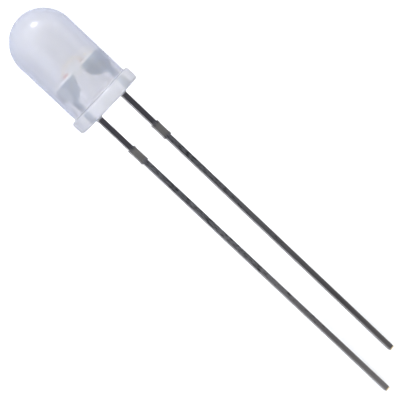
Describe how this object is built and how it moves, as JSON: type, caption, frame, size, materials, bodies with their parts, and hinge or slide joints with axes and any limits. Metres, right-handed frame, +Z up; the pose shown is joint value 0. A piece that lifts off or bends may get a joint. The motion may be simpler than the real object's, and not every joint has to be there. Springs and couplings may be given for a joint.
{
  "type": "through hole led",
  "caption": "Round through-hole indicator LED: milky domed epoxy lens with a flange and a flat, and two stamped leads of unequal length for soldering into a board.",
  "frame": {"origin": "on the table under the middle of the lamp's length and width, as it lies on the flange's rim and both lead tips", "axes": "+Z up from the table; +X along the lamp's length, from the dome towards the lead tips; +Y from the long lead towards the short lead"},
  "size_m": [0.0388, 0.0056, 0.0059],
  "materials": {
    "milky_epoxy": "gloss",
    "tinned_steel": "satin",
    "red_die": "satin",
    "green_die": "satin",
    "silver_adhesive": "satin",
    "gold_wire": "polished"
  },
  "bodies": {
    "root": {"lens": "milky_epoxy", "long_lead": "tinned_steel", "short_lead": "tinned_steel", "red_die": "red_die", "green_die": "green_die", "red_die_bond": "silver_adhesive", "green_die_bond": "silver_adhesive", "red_wire": "gold_wire", "green_wire": "gold_wire"}
  },
  "joints": []
}
